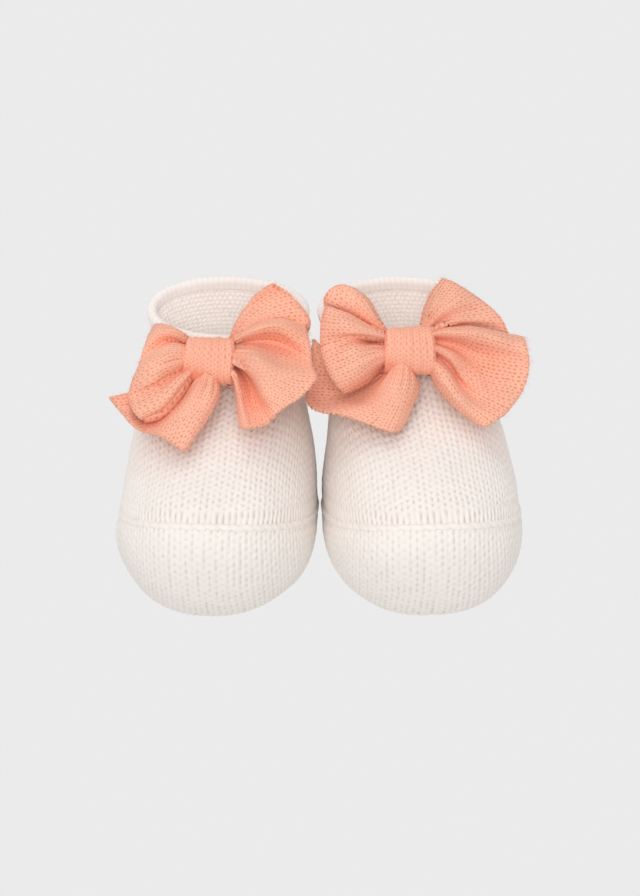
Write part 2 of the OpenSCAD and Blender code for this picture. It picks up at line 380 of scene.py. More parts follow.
def purlHeight(wale, row, seed=0):
    # the back of the fabric: rows of short bumps, set like bricks
    line = np.floor(row)
    best = np.zeros(np.broadcast(wale, row).shape)
    for step in (-1, 0, 1):
        k = line + step
        shifted = wale * 2 + 0.5 * (k % 2)
        cell = np.floor(shifted)
        n = cellNoise(cell, k, seed)
        x = shifted - cell - 0.5
        y = row - (k + 0.5) + 0.35 * (x * x - 0.1) * np.where(cell % 2 == 0, 1, -1)
        grain = 1 - (x / 0.56) ** 2 - (y / 0.62) ** 2
        best = np.maximum(best, np.sqrt(np.clip(grain, 0, 1)) * (0.88 + 0.14 * n))
    return best


def ringSurface(pointAt, levels, columns):
    points = np.empty((len(levels), columns, 3))
    across = np.empty((len(levels), columns))
    for i, t in enumerate(levels):
        angles, where = evenAngles(lambda a: pointAt(t, a), columns)
        points[i] = pointAt(t, angles)
        across[i] = where
    return points, across


def climb(points):
    # distance along each column from its first row
    steps = np.linalg.norm(np.diff(points, axis=0), axis=-1)
    return np.concatenate([np.zeros((1, points.shape[1])), np.cumsum(steps, 0)])


print("knit ready")

# Materials


def newGroup(name, inputs, outputs):
    group = bpy.data.node_groups.new(name, "ShaderNodeTree")
    for label, kind, value in inputs:
        socket = group.interface.new_socket(label, in_out="INPUT", socket_type=kind)
        socket.default_value = value
    for label, kind in outputs:
        group.interface.new_socket(label, in_out="OUTPUT", socket_type=kind)
    entry = group.nodes.new("NodeGroupInput")
    leave = group.nodes.new("NodeGroupOutput")
    return group, entry, leave


def addNode(tree, kind, **settings):
    node = tree.nodes.new(kind)
    for key, value in settings.items():
        setattr(node, key, value)
    return node


def makeYarnGroup():
    # painted shade in the hollows, the colour on top of the stitches, uneven dye, and the fibres' fine bump
    group, entry, leave = newGroup(
        "yarnShade",
        [("Top Colour", "NodeSocketColor", (1, 1, 1, 1)),
         ("Hollow Shade Colour", "NodeSocketColor", (0.5, 0.5, 0.5, 1)),
         ("Relief", "NodeSocketFloat", 1.0),
         ("Unevenness", "NodeSocketFloat", 0.05),
         ("Patch Scale", "NodeSocketFloat", 60.0),
         ("Fibre Scale", "NodeSocketFloat", 2200.0)],
        [("Color", "NodeSocketColor"), ("Fibre Height", "NodeSocketFloat")])
    link = group.links.new
    place = addNode(group, "ShaderNodeTexCoord")
    patch = addNode(group, "ShaderNodeTexNoise")
    patch.inputs["Detail"].default_value = 3
    fibre = addNode(group, "ShaderNodeTexNoise")
    fibre.inputs["Detail"].default_value = 4
    fibre.inputs["Roughness"].default_value = 0.7
    fibre.inputs["Distortion"].default_value = 1.2
    link(place.outputs["Object"], patch.inputs["Vector"])
    link(place.outputs["Object"], fibre.inputs["Vector"])
    link(entry.outputs["Patch Scale"], patch.inputs["Scale"])
    link(entry.outputs["Fibre Scale"], fibre.inputs["Scale"])
    curve = addNode(group, "ShaderNodeMapRange", interpolation_type="SMOOTHSTEP")
    curve.inputs["From Min"].default_value = 0.05
    curve.inputs["From Max"].default_value = 0.85
    link(entry.outputs["Relief"], curve.inputs["Value"])
    mix = addNode(group, "ShaderNodeMix", data_type="RGBA")
    link(curve.outputs["Result"], mix.inputs["Factor"])
    link(entry.outputs["Hollow Shade Colour"], mix.inputs["A"])
    link(entry.outputs["Top Colour"], mix.inputs["B"])
    both = addNode(group, "ShaderNodeMath", operation="ADD")
    link(patch.outputs["Fac"], both.inputs[0])
    link(fibre.outputs["Fac"], both.inputs[1])
    centred = addNode(group, "ShaderNodeMath", operation="SUBTRACT")
    link(both.outputs[0], centred.inputs[0])
    centred.inputs[1].default_value = 1.0
    amount = addNode(group, "ShaderNodeMath", operation="MULTIPLY_ADD")
    link(centred.outputs[0], amount.inputs[0])
    link(entry.outputs["Unevenness"], amount.inputs[1])
    amount.inputs[2].default_value = 1.0
    scale = addNode(group, "ShaderNodeVectorMath", operation="SCALE")
    link(mix.outputs["Result"], scale.inputs[0])
    link(amount.outputs[0], scale.inputs["Scale"])
    link(scale.outputs["Vector"], leave.inputs["Color"])
    link(fibre.outputs["Fac"], leave.inputs["Fibre Height"])
    return group


yarnGroup = makeYarnGroup()


def yarnMaterial(name, top, hollowShade, unevenness=0.08, fibreScale=2200, bump=0.25, sheen=0.25,
                 tint=(1, 1, 1), plain=None, paintedGlow=0.0):
    # plain is a fixed height on the stitch, for a piece that has no relief of its own
    material = bpy.data.materials.new(name)
    material.use_nodes = True
    tree = material.node_tree
    link = tree.links.new
    shader = tree.nodes["Principled BSDF"]
    shader.inputs["Roughness"].default_value = 0.95
    shader.inputs["Specular IOR Level"].default_value = 0.15
    shader.inputs["Sheen Weight"].default_value = sheen
    shader.inputs["Sheen Roughness"].default_value = 0.55
    shader.inputs["Sheen Tint"].default_value = (*tint, 1)
    if paintedGlow:  # painted light: a faint glow that lifts the shade inside the opening
        shader.inputs["Emission Color"].default_value = (1, 0.96, 0.93, 1)
        shader.inputs["Emission Strength"].default_value = paintedGlow
    group = addNode(tree, "ShaderNodeGroup", node_tree=yarnGroup)
    group.inputs["Top Colour"].default_value = (*top, 1)
    group.inputs["Hollow Shade Colour"].default_value = (*hollowShade, 1)
    group.inputs["Unevenness"].default_value = unevenness
    group.inputs["Fibre Scale"].default_value = fibreScale
    if plain is None:
        relief = addNode(tree, "ShaderNodeAttribute", attribute_name="relief")
        link(relief.outputs["Fac"], group.inputs["Relief"])
    else:
        group.inputs["Relief"].default_value = plain
    link(group.outputs["Color"], shader.inputs["Base Color"])
    lift = addNode(tree, "ShaderNodeBump")
    lift.inputs["Strength"].default_value = bump
    lift.inputs["Distance"].default_value = 0.0002
    link(group.outputs["Fibre Height"], lift.inputs["Height"])
    link(lift.outputs["Normal"], shader.inputs["Normal"])
    return material


# each yarn's second colour is painted shade, laid where the relief is low in the stitches' hollows
ivoryKnit = yarnMaterial("ivoryKnit", (0.965, 0.90, 0.85), (0.78, 0.68, 0.60))
ivorySole = yarnMaterial("ivorySole", (0.945, 0.885, 0.835), (0.84, 0.755, 0.69))
ivorySeam = yarnMaterial("ivorySeam", (0.955, 0.885, 0.835), (0.82, 0.73, 0.66))
ivoryRim = yarnMaterial("ivoryRim", (0.96, 0.905, 0.865), (0.93, 0.865, 0.82))
# the purl lining glows a little, painted light that lifts the shade inside the opening
ivoryPurl = yarnMaterial("ivoryPurl", (0.965, 0.905, 0.865), (0.80, 0.71, 0.65), paintedGlow=0.10)
coralCloth = {"fibreScale": 2600, "bump": 0.3, "sheen": 0.12, "tint": (1, 0.85, 0.78)}
# the coral cloth's second colour is painted shade in the slits between its stitches
coralJersey = yarnMaterial("coralJersey", (1.0, 0.52, 0.375), (0.68, 0.19, 0.09),
                           unevenness=0.30, **coralCloth)
coralBand = yarnMaterial("coralBand", (0.98, 0.50, 0.36), (0.90, 0.33, 0.20),
                         unevenness=0.10, **coralCloth)
coralFray = yarnMaterial("coralFray", (1.0, 0.60, 0.45), (0.95, 0.5, 0.36), plain=1.0)
coralCore = yarnMaterial("coralCore", (0.90, 0.38, 0.25), (0.7, 0.2, 0.1), plain=0.6)
sewingThread = yarnMaterial("sewingThread", (0.88, 0.62, 0.52), (0.6, 0.4, 0.3), plain=0.8, fibreScale=4000)
print("materials ready")

# The ivory knit


def makeUpper(side, way):
    # stockinette, with one row of tall stitches at its foot
    levels = np.linspace(0, 1, knit["upperRows"])
    points, across = ringSurface(upperOf(side), levels, knit["columns"])
    up = climb(points)
    x, y, z = (points[..., k] for k in range(3))
    wobble = waves(x, y, z, 11 + way, knit["rowWave"])
    tall = knit["tallRow"]
    row = np.where(up < tall, up / tall, 1 + (up - tall) / knit["row"])
    row = row + knit["stray"] * wobble
    wale = across / knit["wale"] + 0.5 + knit["stray"] * waves(x, y, z, 21 + way, knit["waleWave"])
    height = stitchHeight(wale, row, seed=3 + way, slant=knit["slant"])
    long = stitchHeight(wale, row, seed=9 + way, slant=0.05, halfWidth=0.228, halfLength=0.78)
    blend = np.clip((row - 0.65) / 0.35, 0, 1)
    height = long * (1 - blend) + height * blend
    edge = np.clip((1 - levels) / 0.02, 0, 1)[:, None]
    normal = surfaceNormals(points, around=True)
    soft = knit["upperLump"] * waves(x, y, z, 31 + way, knit["lumpWave"])
    lift = knit["relief"] * (height - 0.95) * (0.3 + 0.7 * edge) + soft * edge * np.clip(up / 0.004, 0, 1)
    points = points + normal * lift[..., None]
    piece = gridPiece(f"{side}_upper_knit", placed(points, way), {"relief": height},
                      closed=True, material=ivoryKnit)
    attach(piece, f"{side}_bootie")
    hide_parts(f"{side}_upper_panel")


lining = {
    "reach": 0.42,  # the level where the purl side gives way to a plain lining
    "rows": 130,
    "columns": 401,
    "plainColumns": 161,
}


def makeLining(side, way):
    # the far wall shows the fabric's back, and below it a plain lining runs down to the insole
    thick = foot["thickness"]
    levels = np.linspace(1, lining["reach"], lining["rows"])
    points, across = ringSurface(upperOf(side), levels, lining["columns"])
    normal = surfaceNormals(points[::-1], around=True)[::-1]
    points = points - normal * thick
    down = climb(points)
    height = purlHeight(across / knit["wale"] * 1.15, down / knit["row"] * 1.75, seed=5)
    points = points - normal * (knit["relief"] * 0.7 * (height - 0.6))[..., None]
    piece = gridPiece(f"{side}_lining", placed(points, way), {"relief": height},
                      closed=True, material=ivoryPurl)
    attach(piece, f"{side}_bootie")
    levels = np.concatenate([np.linspace(lining["reach"], 0, 22), np.linspace(-0.02, -1, 24)])

    def wall(u, a):
        return upperOf(side)(u, a) if u >= 0 else solePoint(-u, a)

    points, across = ringSurface(wall, levels, lining["plainColumns"])
    normal = surfaceNormals(points[::-1], around=True)[::-1]
    points = points - normal * thick
    points[..., 2] = np.maximum(points[..., 2], thick)
    last = points[-1]
    middle = last.mean(0)
    rings = [middle + (last - middle) * k for k in (0.8, 0.55, 0.3, 0.1, 0)]
    points = np.concatenate([points, np.array(rings)])
    piece = gridPiece(f"{side}_insole", placed(points, way), {"relief": 0.8},
                      closed=True, material=ivoryPurl)
    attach(piece, f"{side}_bootie")


rim = {
    "rise": 0.0020,  # above the last row
    "band": 0.0022,  # how far it reaches down each side
    "bulge": 0.0005,
    "stripe": 0.00175,
    "stripeDepth": 0.00007,
    "tuck": 0.0008,  # how far each edge is turned into the knit
    "lump": 0.00025,
    "columns": 601,
    "steps": 33,
}


def makeRim(side, way):
    columns, steps = rim["columns"], rim["steps"]
    shape = upperOf(side)
    angles, where = evenAngles(lambda a: shape(1.0, a), columns)
    line = shape(np.ones(columns), angles)
    under = shape(np.full(columns, 0.97), angles)
    up = line - under
    up /= np.linalg.norm(up, axis=-1, keepdims=True)
    along = np.gradient(line, axis=0)
    along[0] = along[-1] = line[1] - line[-2]
    out = np.cross(along, up)
    out /= np.linalg.norm(out, axis=-1, keepdims=True)
    half = foot["thickness"] / 2
    k = np.linspace(0, 1, steps)
    # section: up the outside, over the top, and down the inside
    turn = np.clip((k - 0.3) / 0.4, 0, 1) * math.pi
    outward = np.cos(turn) * (half + rim["bulge"]) - half
    height = np.sin(turn) * rim["rise"] * 0.9
    height = height - np.where(k < 0.3, (0.3 - k) / 0.3, 0) * rim["band"]
    height = height - np.where(k > 0.7, (k - 0.7) / 0.3, 0) * rim["band"]
    tuck = np.where((k < 0.06) | (k > 0.94), 1, 0) * -rim["tuck"] * np.where(k < 0.5, 1, -1)
    wave = 0.5 + 0.5 * np.cos(2 * math.pi * where / rim["stripe"])
    relief = np.broadcast_to(wave, (steps, columns))
    section = np.stack([outward + tuck, height], -1)
    tangent = np.gradient(section, axis=0)
    facing = np.stack([tangent[:, 1], -tangent[:, 0]], -1)
    facing /= np.linalg.norm(facing, axis=-1, keepdims=True)
    lump = rim["lump"] * waves(line[:, 0], line[:, 1], line[:, 2], 41 + way, 0.014)
    stripe = facing[:, None] * rim["stripeDepth"] * (relief - 0.5)[..., None]
    o = section[:, None, 0] + stripe[..., 0] + lump[None] * np.cos(turn)[:, None]
    h = section[:, None, 1] + stripe[..., 1] + lump[None] * 0.8
    points = line[None] + out[None] * o[..., None] + up[None] * h[..., None]
    piece = gridPiece(f"{side}_rim", placed(points, way), {"relief": relief},
                      closed=True, material=ivoryRim)
    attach(piece, f"{side}_bootie")
    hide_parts(f"{side}_cuff_rim")


def makeSole(side, way):
    # the toe's cup and the sides, then the same knit flat underneath, drawn in to a point
    levels = np.linspace(0, 1, knit["soleRows"])
    points, across = ringSurface(solePoint, levels, knit["columns"])
    down = climb(points)
    x, y, z = (points[..., k] for k in range(3))
    row = -down / knit["row"] + knit["stray"] * waves(x, y, z, 51 + way, knit["rowWave"])
    wale = across / knit["wale"] + 0.5 + knit["stray"] * waves(x, y, z, 61 + way, knit["waleWave"])
    height = stitchHeight(wale, row, seed=7 + way)
    normal = -surfaceNormals(points, around=True)
    soft = knit["soleLump"] * waves(x, y, z, 71 + way, knit["lumpWave"]) * np.clip(down / 0.004, 0, 1)
    points = points + normal * (knit["relief"] * (height - 0.95) + soft)[..., None]
    base = groundPoint(evenAngles(groundPoint, knit["columns"])[0])
    share = np.linspace(1, 0, knit["underRows"])[1:]
    middle = np.array([0, soleMiddle, 0])
    under = middle + (base - middle)[None] * share[:, None, None]
    flat = stitchHeight(under[..., 0] / knit["wale"] + 0.5, under[..., 1] / knit["row"], seed=9)
    under[..., 2] = knit["relief"] * 0.8 * (1.1 - flat) * np.clip(share * 8, 0, 1)[:, None]
    points = np.concatenate([points, under])[::-1]
    height = np.concatenate([height, flat])[::-1]
    points[..., 2] = np.maximum(points[..., 2], 0)
    piece = gridPiece(f"{side}_sole_knit", placed(points, way), {"relief": height},
                      closed=True, material=ivorySole)
    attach(piece, f"{side}_bootie")
    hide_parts(f"{side}_sole_panel")


toeSeam = {
    "width": 0.0027,
    "height": 0.0009,
    "pitch": 0.0035,
    "relief": 0.0005,
    "columns": 1201,
    "steps": 25,
}


def makeToeSeam(side, way):
    columns, steps = toeSeam["columns"], toeSeam["steps"]
    angles, where = evenAngles(lambda a: upperPoint(0.0, a), columns)
    line = upperPoint(np.zeros(columns), angles)
    above = upperPoint(np.full(columns, 0.01), angles) - line
    below = line - solePoint(np.full(columns, 0.01), angles)
    above /= np.linalg.norm(above, axis=-1, keepdims=True)
    below /= np.linalg.norm(below, axis=-1, keepdims=True)
    cross = above + below
    cross /= np.linalg.norm(cross, axis=-1, keepdims=True)
    along = np.gradient(line, axis=0)
    along[0] = along[-1] = line[1] - line[-2]
    out = np.cross(along, cross)
    out /= np.linalg.norm(out, axis=-1, keepdims=True)
    turn = np.linspace(-1.15, 1.15, steps)[:, None]
    half = toeSeam["width"] / 2
    # one plump slanted grain for each wale, overlapping along the ridge
    n = where[None] / toeSeam["pitch"] + 0.12 * np.sin(where[None] * 900)
    cell = np.floor(n)
    best = np.zeros((steps, columns))
    for step in (-1, 0, 1):
        k = cell + step
        lift = 0.22 * (cellNoise(k, 0 * k, 3) - 0.5)
        x = n - (k + 0.5) + 0.30 * turn
        y = turn + lift
        grain = 1 - (x / 0.60) ** 2 - (y / 1.02) ** 2
        best = np.maximum(best, np.sqrt(np.clip(grain, 0, 1)) * (0.9 + 0.16 * cellNoise(k, 0 * k, 5)))
    o = toeSeam["height"] * (np.cos(turn * 1.25) - 0.62) + toeSeam["relief"] * (best - 0.55)
    c = half * np.sin(turn * 1.25) + 0 * n
    points = line[None] + out[None] * o[..., None] + cross[None] * c[..., None]
    piece = gridPiece(f"{side}_toe_chain", placed(points, way), {"relief": best},
                      closed=True, material=ivorySeam)
    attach(piece, f"{side}_bootie")
    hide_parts(f"{side}_toe_seam")


heelSeam = {
    "width": 0.0022,
    "height": 0.0009,
    "pitch": 0.0022,
    "relief": 0.0004,
    "rows": 361,
    "steps": 17,
}


def makeHeelSeam(side, way):
    # two slanted grains for each stitch, side by side up the back
    rows, steps = heelSeam["rows"], heelSeam["steps"]
    t = np.linspace(0.02, 0.985, rows)
    line = upperOf(side)(t, np.full(rows, math.pi))
    along = np.gradient(line, axis=0)
    along /= np.linalg.norm(along, axis=-1, keepdims=True)
    cross = np.broadcast_to(np.array([-1.0, 0, 0]), line.shape)
    out = np.cross(cross, along)
    run = np.concatenate([[0], np.cumsum(np.linalg.norm(np.diff(line, axis=0), axis=-1))])
    turn = np.linspace(-1.2, 1.2, steps)[None]
    n = run[:, None] / heelSeam["pitch"]
    cell = np.floor(n)
    best = np.zeros((rows, steps))
    for step in (-1, 0, 1):
        k = cell + step
        x = n - (k + 0.5) - 0.4 * np.abs(turn)
        y = np.abs(turn) - 0.5
        grain = 1 - (x / 0.52) ** 2 - (y / 0.7) ** 2
        best = np.maximum(best, np.sqrt(np.clip(grain, 0, 1)))
    fade = np.sin(np.clip(np.linspace(0, 1, rows) * 12, 0, 1) * math.pi / 2)[:, None]
    o = heelSeam["height"] * (np.cos(turn * 1.2) - 0.6) * fade + heelSeam["relief"] * (best - 0.7)
    c = heelSeam["width"] / 2 * np.sin(turn * 1.2) + 0 * n
    points = line[:, None] + out[:, None] * o[..., None] + cross[:, None] * c[..., None]
    piece = gridPiece(f"{side}_heel_chain", placed(points, way), {"relief": best}, material=ivorySeam)
    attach(piece, f"{side}_bootie")
    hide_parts(f"{side}_heel_seam")


for sideName, sideWay in sides.items():
    makeUpper(sideName, sideWay)
    makeLining(sideName, sideWay)
    makeRim(sideName, sideWay)
    makeSole(sideName, sideWay)
    makeToeSeam(sideName, sideWay)
    makeHeelSeam(sideName, sideWay)
    print("knitted", sideName)

# The bows. Each lies in a plane of its own: p runs to the right, q up the bow and r away from the ankle

bow = {
    "knotRow": {"left": 0.82, "right": 0.92},
    "knotShift": {"left": -0.00305, "right": 0.00075},
    "knotWidth": 0.0146,
    "knotHeight": 0.0150,
    "knotDepth": 0.0120,
    "knotGap": 0.0016,
    "knotRise": 0.0014,  # how far the cloth sits above the band's own middle
    "cloth": 0.0009,  # thickness of the jersey
    "wale": 0.0020,
    "row": 0.00145,
    "relief": 0.00022,
    "sample": 0.00028,  # the grid's spacing
    "rootTuck": (0.80, 0.84, 0.72),  # draws each root in under the knot
    "foldDepth": (2.2, 3.4, 3.2, 2.6),  # millimetres from a loop's front to its back, root to end
    "sag": 0.0007,
    "pleat": 0.0042,
    "pleatDepth": 0.0005,
}


def bowPlane(side, way):
    t = bow["knotRow"][side]
    d = 1e-4
    shape = upperOf(side)
    middle = shape(t, 0.0)
    along = shape(t, 0.01) - shape(t, -0.01)
    up = shape(t + d, 0.0) - shape(t - d, 0.0)
    out = np.cross(along, up)
    out /= np.linalg.norm(out)
    rise = np.cross(out, [1, 0, 0])
    middle = middle + [bow["knotShift"][side], 0, 0] + (bow["knotDepth"] / 2 + bow["knotGap"]) * out

    def toRow(points):
        local = middle + points[..., :1] * np.array([1.0, 0, 0])
        return placed(local + points[..., 1:2] * rise + points[..., 2:3] * out, way)

    return toRow


planes = {name: bowPlane(name, way) for name, way in sides.items()}

# Nets in millimetres: a row of points for each line of the cloth, from its root at the knot to its end
petals = {
    "leftOuterLoop": [
        [[-7.1,9.2,-1.0], [-11.0,11.9,-0.5], [-15.3,13.6,-1.5], [-17.7,13.2,-3.0]],
        [[-6.8,7.4,2.0], [-10.8,8.4,4.5], [-15.0,8.5,5.0], [-18.5,8.5,0.5]],
        [[-6.7,6.5,2.5], [-11.0,6.6,5.0], [-15.5,6.0,5.0], [-19.5,3.3,1.0]],
        [[-7.0,6.9,0.5], [-11.2,6.1,2.2], [-14.9,4.2,2.8], [-19.9,0.4,0.5]],
        [[-6.4,4.1,4.0], [-10.8,2.1,7.2], [-15.0,-0.4,7.5], [-20.3,-3.2,3.0]],
        [[-6.0,1.2,4.5], [-10.2,-2.4,8.2], [-15.3,-5.5,9.0], [-21.4,-6.9,4.0]],
        [[-5.8,-0.2,2.5], [-9.5,-4.4,5.5], [-15.0,-9.0,7.5], [-22.0,-10.5,3.5]],
        [[-5.7,-0.3,1.0], [-9.5,-4.6,3.0], [-14.8,-9.8,5.0], [-21.7,-12.6,3.0]],
        [[-5.2,-2.1,3.5], [-8.3,-8.3,7.0], [-13.2,-14.6,8.5], [-20.4,-16.3,5.0]],
        [[-4.6,-2.5,3.0], [-7.5,-10.3,6.0], [-12.1,-16.9,7.0], [-18.1,-19.2,5.0]],
        [[-4.5,-1.6,-1.0], [-7.4,-8.3,0.0], [-12.3,-14.8,0.5], [-16.6,-18.2,1.0]],
    ],
    "leftOuterTail": [
        [[-4.6,-1.6,-2.0], [-12.0,-7.3,-2.5], [-21.1,-8.7,-1.0], [-27.4,-12.3,4.0]],
        [[-4.2,-1.9,-2.0], [-10.7,-9.3,-3.0], [-18.0,-13.0,-1.0], [-24.4,-15.8,2.0]],
        [[-3.9,-2.2,-2.0], [-9.0,-10.1,-3.0], [-15.3,-16.7,-0.5], [-20.1,-20.5,3.0]],
        [[-2.6,-4.0,2.5], [-6.6,-10.3,1.5], [-12.0,-17.4,2.0], [-16.1,-22.5,4.0]],
        [[-1.2,-5.1,5.0], [-4.0,-11.9,5.5], [-8.1,-19.0,6.5], [-12.0,-25.4,7.0]],
        [[0.5,-5.8,5.5], [-1.4,-12.7,6.5], [-4.6,-20.8,8.0], [-8.3,-28.1,8.5]],
        [[2.6,-6.2,4.0], [1.7,-12.6,5.5], [-1.5,-21.0,7.5], [-5.0,-30.0,8.5]],
        [[4.0,-5.9,0.0], [3.5,-10.9,2.0], [0.8,-18.8,4.5], [-3.4,-28.0,6.5]],
    ],
    "leftInnerBack": [
        [[5.6,10.1,-1.5], [7.4,16.0,-0.6], [11.6,20.8,2.3], [17.1,23.9,5.0]],
        [[5.9,8.8,0.5], [9.6,14.6,1.5], [14.5,19.7,1.5], [20.9,22.5,2.7]],
        [[6.1,8.2,1.0], [12.0,12.6,2.0], [17.5,16.4,2.0], [25.1,19.3,0.0]],
        [[6.2,8.5,-0.5], [12.7,11.8,0.0], [19.2,14.2,0.0], [27.6,14.9,-1.0]],
        [[6.3,8.3,-1.5], [13.3,10.7,-2.5], [19.5,11.6,-3.0], [25.5,10.0,-4.0]],
    ],
    "leftInnerFront": [
        [[5.9,9.9,-1.0], [10.7,12.5,1.0], [18.8,15.0,1.0], [26.6,14.7,-2.0]],
        [[6.5,7.6,3.0], [11.6,8.6,6.0], [19.6,10.5,6.5], [28.0,9.7,0.5]],
        [[6.7,6.9,3.0], [12.4,7.5,5.0], [19.7,8.5,5.0], [28.7,5.7,0.5]],
        [[6.6,6.8,1.5], [12.7,7.5,0.5], [19.8,7.8,-1.5], [29.1,2.4,0.0]],
        [[6.7,5.6,2.0], [13.3,4.4,3.0], [20.8,1.5,2.5], [29.8,-1.3,2.0]],
        [[7.2,2.2,5.5], [14.2,-1.4,9.0], [21.7,-6.2,9.0], [31.0,-6.2,6.0]],
        [[7.2,0.7,5.5], [13.7,-5.0,9.2], [20.1,-11.3,10.0], [27.0,-12.7,8.0]],
        [[7.1,0.5,3.5], [12.7,-6.3,6.2], [17.2,-13.9,8.5], [21.4,-17.1,8.5]],
        [[6.8,1.3,0.5], [10.8,-3.6,-1.0], [14.2,-11.9,1.5], [17.6,-20.0,6.0]],
        [[6.9,0.4,2.0], [9.6,-6.5,2.5], [12.1,-14.1,3.5], [14.7,-21.8,7.0]],
        [[6.9,-0.3,3.0], [8.6,-8.1,5.5], [10.4,-15.9,7.0], [12.4,-23.1,8.5]],
        [[6.4,1.0,-0.5], [7.2,-6.1,1.0], [8.5,-14.0,2.5], [10.3,-22.2,6.0]],
    ],
    "rightInnerBack": [
        [[-7.0,8.0,-1.5], [-8.9,11.5,-1.5], [-11.1,16.1,-1.5], [-14.9,19.6,-2.0]],
        [[-7.2,7.5,0.5], [-9.6,10.5,1.0], [-13.3,15.7,1.5], [-18.1,20.6,-1.0]],
        [[-7.3,7.1,0.5], [-10.4,9.5,1.0], [-16.0,14.3,1.5], [-21.4,19.6,-1.0]],
        [[-7.3,7.0,-0.5], [-11.0,8.9,-0.5], [-17.6,13.0,-0.5], [-23.5,16.9,-2.0]],
        [[-7.2,7.1,-2.5], [-11.0,8.6,-3.0], [-17.4,12.0,-4.0], [-23.2,14.2,-5.0]],
    ],
    "rightInnerFront": [
        [[-7.2,7.2,-1.0], [-11.2,8.9,0.0], [-17.7,12.6,0.5], [-23.2,14.9,-2.0]],
        [[-7.4,5.8,3.5], [-11.5,6.9,5.2], [-17.9,9.2,6.0], [-24.4,11.2,-0.5]],
        [[-7.4,4.7,4.0], [-11.3,5.1,6.0], [-18.0,5.8,7.2], [-24.9,6.6,0.5]],
        [[-7.2,4.0,1.0], [-11.1,4.3,-0.5], [-17.0,4.6,4.5], [-24.8,2.5,1.0]],
        [[-7.3,2.5,3.0], [-11.3,2.0,4.0], [-17.2,0.4,8.0], [-24.0,-2.1,3.0]],
        [[-7.4,0.4,4.5], [-11.1,-1.0,6.5], [-16.5,-3.8,8.7], [-22.8,-6.0,4.5]],
        [[-7.3,-1.5,3.5], [-10.3,-3.3,5.5], [-15.1,-6.9,7.5], [-20.9,-9.2,5.0]],
        [[-6.9,-2.7,-1.0], [-9.3,-4.6,1.0], [-13.0,-7.7,3.0], [-18.5,-11.0,3.0]],
    ],
    "rightInnerTail": [
        [[-6.7,-2.0,-3.5], [-11.3,-3.3,-5.0], [-19.0,-1.5,-5.0], [-27.2,5.7,-4.5]],
        [[-6.6,-2.7,-3.0], [-11.6,-5.1,-4.5], [-19.8,-5.5,-4.5], [-28.3,-1.4,-4.0]],
        [[-6.4,-3.1,-3.0], [-11.8,-6.1,-4.0], [-20.1,-8.6,-4.0], [-29.2,-8.1,-3.0]],
        [[-6.0,-3.3,-3.0], [-11.0,-7.4,-4.0], [-19.2,-11.0,-3.5], [-29.9,-11.6,-1.0]],
        [[-5.9,-3.5,0.5], [-9.9,-8.4,-0.5], [-16.4,-13.0,-0.0], [-27.8,-14.9,2.0]],
        [[-5.3,-3.3,4.5], [-8.0,-9.0,4.5], [-11.8,-13.9,5.0], [-20.5,-17.5,6.0]],
        [[-3.8,-3.2,6.0], [-5.7,-9.7,7.0], [-9.2,-15.4,7.5], [-14.8,-19.8,8.0]],
        [[-1.9,-3.4,6.0], [-2.9,-10.1,7.5], [-6.0,-16.6,8.5], [-9.7,-22.1,9.0]],
        [[-0.0,-4.2,4.0], [0.2,-9.9,5.0], [-2.5,-16.5,7.0], [-5.3,-23.1,8.5]],
        [[1.6,-5.2,-0.5], [2.8,-9.8,0.0], [0.3,-15.6,3.0], [-2.8,-21.7,6.0]],
    ],
    "rightOuterBack": [
        [[4.4,8.9,-2.0], [5.5,13.2,-2.0], [7.4,17.8,-2.0], [10.3,22.0,-2.0]],
        [[5.2,8.4,0.5], [7.2,12.3,2.0], [10.6,16.3,2.0], [14.1,20.2,-1.0]],
        [[6.3,8.1,1.0], [9.4,10.7,2.5], [13.8,13.5,2.5], [19.4,16.7,-1.0]],
        [[7.0,8.0,-0.0], [10.7,9.5,1.0], [16.1,11.4,1.0], [23.8,13.1,-1.0]],
        [[7.1,7.6,1.5], [11.3,8.3,2.5], [17.5,9.1,2.5], [26.5,9.7,-0.5]],
        [[7.5,7.7,-1.5], [12.0,7.8,-2.0], [18.5,7.5,-2.0], [28.3,5.9,-2.0]],
    ],
    "rightOuterFront": [
        [[7.3,8.0,-1.0], [13.4,8.3,0.5], [21.5,7.0,1.5], [33.3,4.5,-1.0]],
        [[7.0,6.8,3.5], [12.8,6.0,6.0], [20.8,4.8,7.0], [33.6,2.1,2.5]],
        [[6.9,5.6,4.0], [12.7,4.2,6.0], [20.4,2.6,6.0], [34.0,-0.7,3.0]],
        [[7.2,5.2,0.5], [13.3,3.0,-0.5], [21.0,-0.2,0.0], [34.3,-3.6,2.0]],
        [[7.0,4.1,2.5], [13.6,0.6,0.0], [21.3,-4.0,-0.5], [33.6,-7.4,3.0]],
        [[6.8,2.8,5.0], [12.0,-0.6,5.0], [19.7,-7.5,1.5], [31.8,-11.6,4.0]],
        [[6.7,1.8,5.5], [11.1,-2.3,6.0], [17.5,-9.8,2.5], [29.2,-15.2,6.0]],
        [[6.9,1.1,2.5], [11.2,-3.8,1.5], [16.2,-11.4,2.0], [26.4,-18.1,7.5]],
        [[6.6,-0.4,4.5], [10.3,-6.2,6.0], [14.9,-14.0,8.0], [23.1,-20.6,9.0]],
        [[6.3,-2.6,4.5], [8.3,-8.5,7.0], [12.6,-15.0,8.5], [19.9,-22.2,8.5]],
        [[6.2,-4.1,-0.5], [6.6,-8.8,1.5], [10.6,-14.9,4.0], [17.3,-20.6,5.0]],
    ],
}
